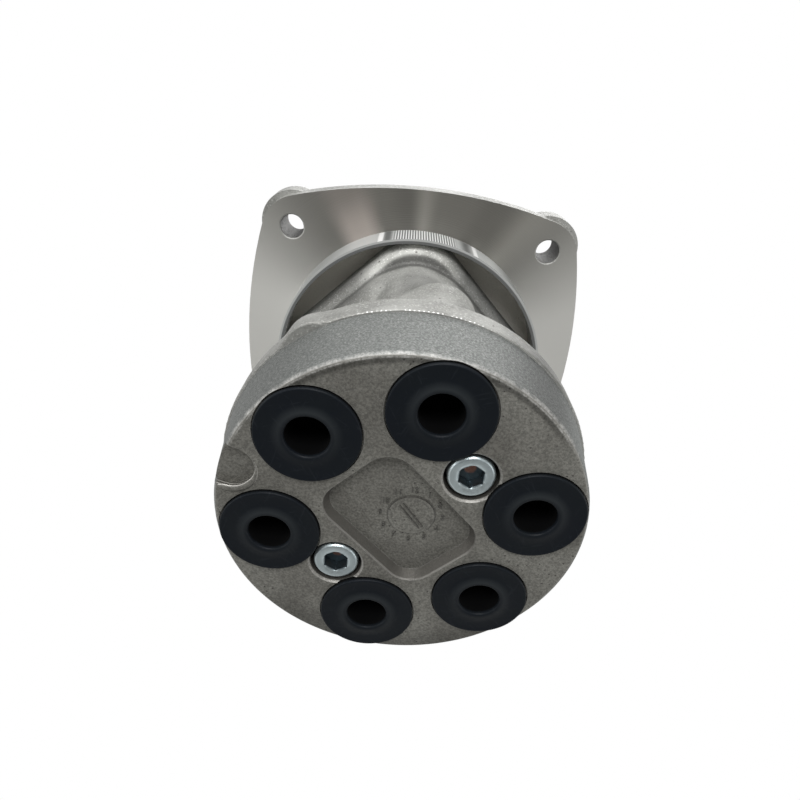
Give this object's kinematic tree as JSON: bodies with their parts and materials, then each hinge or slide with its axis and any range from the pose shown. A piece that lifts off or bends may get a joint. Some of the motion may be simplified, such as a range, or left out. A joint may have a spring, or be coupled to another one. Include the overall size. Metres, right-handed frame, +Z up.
{
  "type": "hydraulic pilot control valve",
  "caption": "Joystick pilot control valve: square flange and spigot over a lobed cast body, a round port plate with shipping plugs below, and a tilting lever stub in a rubber boot above.",
  "frame": {"origin": "centre of the flange's square bolt pattern, on the flange's underside", "axes": "+Z up the valve's axis to the lever, -Y towards the front control unit, +X to the right one; the port face looks down -Z"},
  "size_m": [0.107, 0.107, 0.165],
  "materials": {
    "cast_aluminium": "sand-cast with machined seat and spigot, matt to satin",
    "machined_aluminium": "cast, dull machined face with fine scratches",
    "zinc_screw": "bright zinc plated",
    "plug_plastic": "blue-black moulded polyethylene, satin",
    "boot_rubber": "matt black moulded rubber",
    "seal_rubber": "black nitrile",
    "ground_steel": "hardened and ground",
    "spring_steel": "drawn wire",
    "bush_bronze": "turned bronze",
    "plated_steel": "clear zinc plated",
    "black_steel": "black oxide"
  },
  "bodies": {
    "casing": {"casing": "cast_aluminium", "port_plate": "machined_aluminium", "plate_screws": "zinc_screw", "joint_seals": "seal_rubber", "bush_seals": "seal_rubber", "plunger_wipers": "seal_rubber", "retainer_plate": "plated_steel", "joint_fork": "ground_steel", "boot": "boot_rubber", "boot_ring": "black_steel", "boot_screws": "zinc_screw", "guide_bush_front": "bush_bronze", "guide_bush_right": "bush_bronze", "guide_bush_back": "bush_bronze", "guide_bush_left": "bush_bronze", "return_spring_front": "spring_steel", "return_spring_right": "spring_steel", "return_spring_back": "spring_steel", "return_spring_left": "spring_steel"},
    "lower_pin": {"lower_pivot_pin": "ground_steel"},
    "cross": {"cross_block": "ground_steel"},
    "upper_pins": {"upper_pivot_pins": "ground_steel"},
    "lever": {"lever_yoke": "ground_steel", "actuating_plate": "plated_steel", "plate_nut": "plated_steel", "lever": "plated_steel", "grip_nut": "plated_steel", "boot_clip": "black_steel"},
    "plunger_front": {"plunger_front": "ground_steel", "spring_seat_front": "spring_steel"},
    "spool_front": {"spool_front": "ground_steel", "control_spring_front": "spring_steel"},
    "plunger_right": {"plunger_right": "ground_steel", "spring_seat_right": "spring_steel"},
    "spool_right": {"spool_right": "ground_steel", "control_spring_right": "spring_steel"},
    "plunger_back": {"plunger_back": "ground_steel", "spring_seat_back": "spring_steel"},
    "spool_back": {"spool_back": "ground_steel", "control_spring_back": "spring_steel"},
    "plunger_left": {"plunger_left": "ground_steel", "spring_seat_left": "spring_steel"},
    "spool_left": {"spool_left": "ground_steel", "control_spring_left": "spring_steel"},
    "plug_front": {"plug_front": "plug_plastic"},
    "plug_right": {"plug_right": "plug_plastic"},
    "plug_back": {"plug_back": "plug_plastic"},
    "plug_left": {"plug_left": "plug_plastic"},
    "plug_pressure": {"plug_pressure": "plug_plastic"},
    "plug_tank": {"plug_tank": "plug_plastic"}
  },
  "joints": [
    {"name": "tilt_front", "type": "hinge", "parent": "casing", "child": "lower_pin", "pos_m": [0, 0, 0.015], "axis": [1, 0, 0], "range_deg": [0, 19], "deforming": ["boot"]},
    {"name": "tilt_back", "type": "hinge", "parent": "lower_pin", "child": "cross", "pos_m": [0, 0, 0.015], "axis": [-1, 0, 0], "range_deg": [0, 19], "deforming": ["boot"]},
    {"name": "tilt_right", "type": "hinge", "parent": "cross", "child": "upper_pins", "pos_m": [0, 0, 0.015], "axis": [0, 1, 0], "range_deg": [0, 19], "deforming": ["boot"]},
    {"name": "tilt_left", "type": "hinge", "parent": "upper_pins", "child": "lever", "pos_m": [0, 0, 0.015], "axis": [0, -1, 0], "range_deg": [0, 19], "deforming": ["boot"]},
    {"name": "plunger_slide_front", "type": "slide", "parent": "casing", "child": "plunger_front", "axis": [0, 0, -1], "range_m": [0, 0.00775], "stiffness_N_per_m": 5000, "springref_m": -0.001, "deforming": ["return_spring_front", "control_spring_front"]},
    {"name": "spool_slide_front", "type": "slide", "parent": "casing", "child": "spool_front", "axis": [0, 0, -1], "range_m": [0, 0.002], "stiffness_N_per_m": 200, "springref_m": -0.001},
    {"name": "plunger_slide_right", "type": "slide", "parent": "casing", "child": "plunger_right", "axis": [0, 0, -1], "range_m": [0, 0.00819], "stiffness_N_per_m": 5000, "springref_m": -0.001, "deforming": ["return_spring_right", "control_spring_right"]},
    {"name": "spool_slide_right", "type": "slide", "parent": "casing", "child": "spool_right", "axis": [0, 0, -1], "range_m": [0, 0.002], "stiffness_N_per_m": 200, "springref_m": -0.001},
    {"name": "plunger_slide_back", "type": "slide", "parent": "casing", "child": "plunger_back", "axis": [0, 0, -1], "range_m": [0, 0.00775], "stiffness_N_per_m": 5000, "springref_m": -0.001, "deforming": ["return_spring_back", "control_spring_back"]},
    {"name": "spool_slide_back", "type": "slide", "parent": "casing", "child": "spool_back", "axis": [0, 0, -1], "range_m": [0, 0.002], "stiffness_N_per_m": 200, "springref_m": -0.001},
    {"name": "plunger_slide_left", "type": "slide", "parent": "casing", "child": "plunger_left", "axis": [0, 0, -1], "range_m": [0, 0.00819], "stiffness_N_per_m": 5000, "springref_m": -0.001, "deforming": ["return_spring_left", "control_spring_left"]},
    {"name": "spool_slide_left", "type": "slide", "parent": "casing", "child": "spool_left", "axis": [0, 0, -1], "range_m": [0, 0.002], "stiffness_N_per_m": 200, "springref_m": -0.001},
    {"name": "pull_plug_front", "type": "slide", "parent": "casing", "child": "plug_front", "axis": [0, 0, -1], "range_m": [0, 0.0095]},
    {"name": "pull_plug_right", "type": "slide", "parent": "casing", "child": "plug_right", "axis": [0, 0, -1], "range_m": [0, 0.0095]},
    {"name": "pull_plug_back", "type": "slide", "parent": "casing", "child": "plug_back", "axis": [0, 0, -1], "range_m": [0, 0.0095]},
    {"name": "pull_plug_left", "type": "slide", "parent": "casing", "child": "plug_left", "axis": [0, 0, -1], "range_m": [0, 0.0095]},
    {"name": "pull_plug_pressure", "type": "slide", "parent": "casing", "child": "plug_pressure", "axis": [0, 0, -1], "range_m": [0, 0.0095]},
    {"name": "pull_plug_tank", "type": "slide", "parent": "casing", "child": "plug_tank", "axis": [0, 0, -1], "range_m": [0, 0.0095]}
  ],
  "couplings": [
    {"joint": "tilt_front", "follows": "plunger_slide_front", "rad_per_m": 42.803},
    {"joint": "spool_slide_front", "follows": "plunger_slide_front", "ratio": 0.25812},
    {"joint": "tilt_right", "follows": "plunger_slide_right", "rad_per_m": 40.471},
    {"joint": "spool_slide_right", "follows": "plunger_slide_right", "ratio": 0.24406},
    {"joint": "tilt_back", "follows": "plunger_slide_back", "rad_per_m": 42.803},
    {"joint": "spool_slide_back", "follows": "plunger_slide_back", "ratio": 0.25812},
    {"joint": "tilt_left", "follows": "plunger_slide_left", "rad_per_m": 40.471},
    {"joint": "spool_slide_left", "follows": "plunger_slide_left", "ratio": 0.24406}
  ]
}
